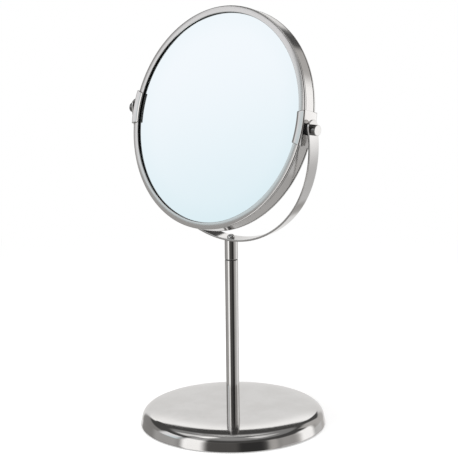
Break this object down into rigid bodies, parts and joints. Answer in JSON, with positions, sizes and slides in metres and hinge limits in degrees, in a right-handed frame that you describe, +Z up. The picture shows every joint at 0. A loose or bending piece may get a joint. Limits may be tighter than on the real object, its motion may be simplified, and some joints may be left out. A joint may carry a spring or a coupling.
{
  "type": "makeup mirror",
  "caption": "Tabletop makeup mirror: round steel head with plain and magnifying glass, tilting in a strip yoke that turns on a slim stem over a weighted base.",
  "frame": {"origin": "on the table under the middle of the base, on the stem's axis", "axes": "+Z up, +X along the tilt pivots, the plain glass looks to -Y"},
  "size_m": [0.1888, 0.145, 0.3262],
  "materials": {
    "polished_steel": "polished stainless steel",
    "satin_steel": "satin stainless steel",
    "mirror_glass": "silvered glass",
    "black_plastic": "moulded plastic",
    "plated_steel": "zinc plated",
    "cast_iron": "as cast",
    "foam_pad": "closed foam",
    "fibre_board": "plain board"
  },
  "bodies": {
    "stand": {"base_shell": "polished_steel", "base_pad": "foam_pad", "base_weight": "cast_iron", "bolt_washer": "plated_steel", "stem_bolt": "plated_steel", "stem_tube": "polished_steel", "lower_insert": "plated_steel", "upper_insert": "plated_steel", "retaining_ring": "plated_steel", "neck_washer": "black_plastic"},
    "yoke": {"neck_collar": "polished_steel", "yoke_strip": "satin_steel", "yoke_screw": "polished_steel"},
    "mirror_head": {"front_bezel": "satin_steel", "rim_band": "satin_steel", "rear_bezel": "satin_steel", "front_mirror": "mirror_glass", "rear_mirror": "mirror_glass", "backing_board": "fibre_board", "mount_ring": "black_plastic", "side_clip_left": "polished_steel", "side_clip_right": "polished_steel", "pivot_knob_left": "polished_steel", "pivot_knob_right": "polished_steel", "pivot_washer_left": "black_plastic", "pivot_washer_right": "black_plastic", "pivot_nut_left": "plated_steel", "pivot_nut_right": "plated_steel"}
  },
  "joints": [
    {"name": "yoke_swivel", "type": "hinge", "parent": "stand", "child": "yoke", "pos_m": [0, 0, 0.1323], "axis": [0, 0, 1], "continuous": true},
    {"name": "head_tilt", "type": "hinge", "parent": "yoke", "child": "mirror_head", "pos_m": [0, -0.00997, 0.24278], "axis": [1, 0, 0], "continuous": true}
  ]
}
